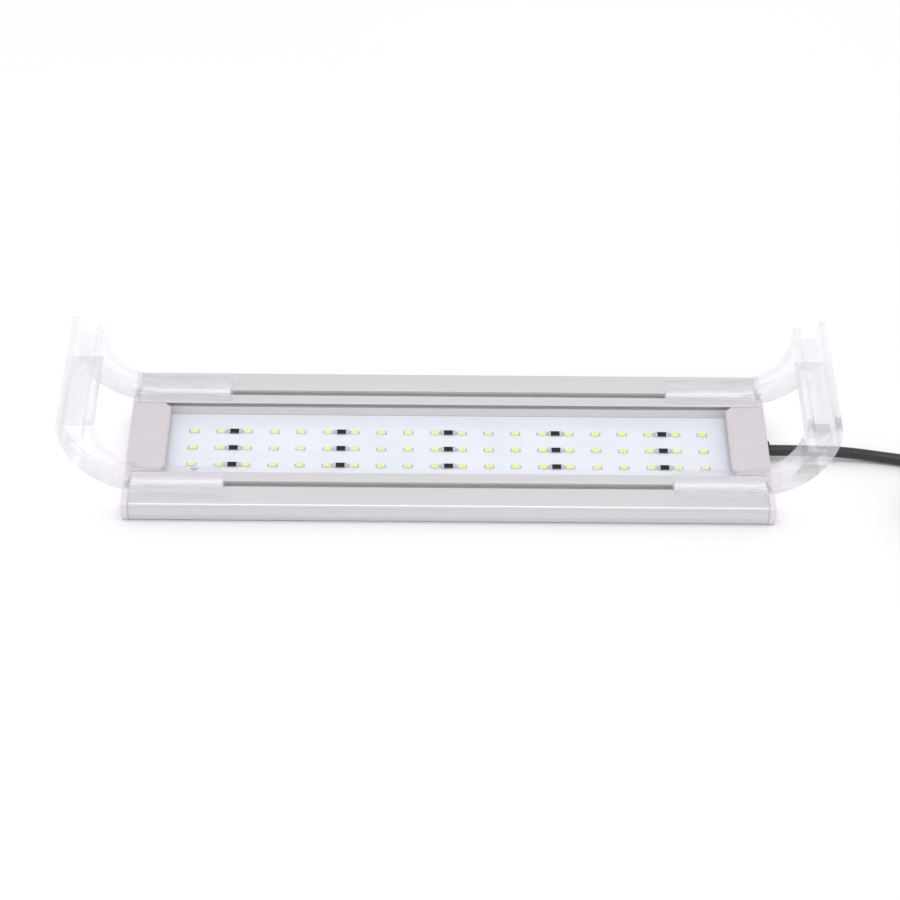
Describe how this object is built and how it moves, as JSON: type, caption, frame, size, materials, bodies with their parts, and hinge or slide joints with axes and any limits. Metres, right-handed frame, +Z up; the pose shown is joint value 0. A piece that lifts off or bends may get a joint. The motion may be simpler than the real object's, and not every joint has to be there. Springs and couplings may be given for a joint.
{
  "type": "led aquarium light",
  "caption": "Slim aluminium LED bar light for an aquarium, light side up, with clear sliding brackets whose slots stand on the tank's rim, and a black power lead.",
  "frame": {"origin": "on the surface that the lamp's back lies on, below the middle of the housing", "axes": "+X along the bar towards the end that the lead leaves, +Z up, the way the LEDs face as it lies; in use the lamp is turned over"},
  "size_m": [0.4688, 0.1709, 0.0502],
  "materials": {
    "anodised_aluminium": "satin anodised, fine lines along the extrusion",
    "cap_grey": "matte",
    "seal_rubber": "matte",
    "seal_silicone": "matte",
    "screw_steel": "satin",
    "heat_pad": "matte",
    "board_white": "satin solder mask",
    "led_package": "silicone over phosphor in a white frame",
    "resistor_black": "satin",
    "wire_red": "satin",
    "lead_black": "satin PVC",
    "clear_plastic": "clear, polished",
    "plug_nickel": "nickel plated",
    "insulator_yellow": "satin"
  },
  "bodies": {
    "lamp": {"housing_extrusion": "anodised_aluminium", "left_end_cap": "cap_grey", "right_end_cap": "cap_grey", "left_cap_seal": "seal_silicone", "right_cap_seal": "seal_silicone", "left_cap_screw_front": "screw_steel", "left_cap_screw_rear": "screw_steel", "right_cap_screw_front": "screw_steel", "right_cap_screw_rear": "screw_steel", "thermal_pad": "heat_pad", "led_board": "board_white", "led_string_a1": "led_package", "led_string_a2": "led_package", "led_string_a3": "led_package", "led_string_a4": "led_package", "led_string_a5": "led_package", "led_string_b1": "led_package", "led_string_b2": "led_package", "led_string_b3": "led_package", "led_string_b4": "led_package", "led_string_b5": "led_package", "led_string_c1": "led_package", "led_string_c2": "led_package", "led_string_c3": "led_package", "led_string_c4": "led_package", "led_string_c5": "led_package", "resistor_a1": "resistor_black", "resistor_a2": "resistor_black", "resistor_a3": "resistor_black", "resistor_a4": "resistor_black", "resistor_a5": "resistor_black", "resistor_b1": "resistor_black", "resistor_b2": "resistor_black", "resistor_b3": "resistor_black", "resistor_b4": "resistor_black", "resistor_b5": "resistor_black", "resistor_c1": "resistor_black", "resistor_c2": "resistor_black", "resistor_c3": "resistor_black", "resistor_c4": "resistor_black", "resistor_c5": "resistor_black", "positive_wire": "wire_red", "negative_wire": "lead_black", "cable_grommet": "seal_rubber", "power_lead": "lead_black", "power_lead_coil": "lead_black", "power_lead_tail": "lead_black", "lead_tie": "seal_rubber", "plug_overmould": "lead_black", "plug_barrel": "plug_nickel", "plug_insulator": "insulator_yellow"},
    "left_bracket": {"left_tank_bracket": "clear_plastic"},
    "right_bracket": {"right_tank_bracket": "clear_plastic"}
  },
  "joints": [
    {"name": "left_bracket_slide", "type": "slide", "parent": "lamp", "child": "left_bracket", "axis": [-1, 0, 0], "range_m": [-0.02, 0.03]},
    {"name": "right_bracket_slide", "type": "slide", "parent": "lamp", "child": "right_bracket", "axis": [1, 0, 0], "range_m": [-0.02, 0.03]}
  ]
}
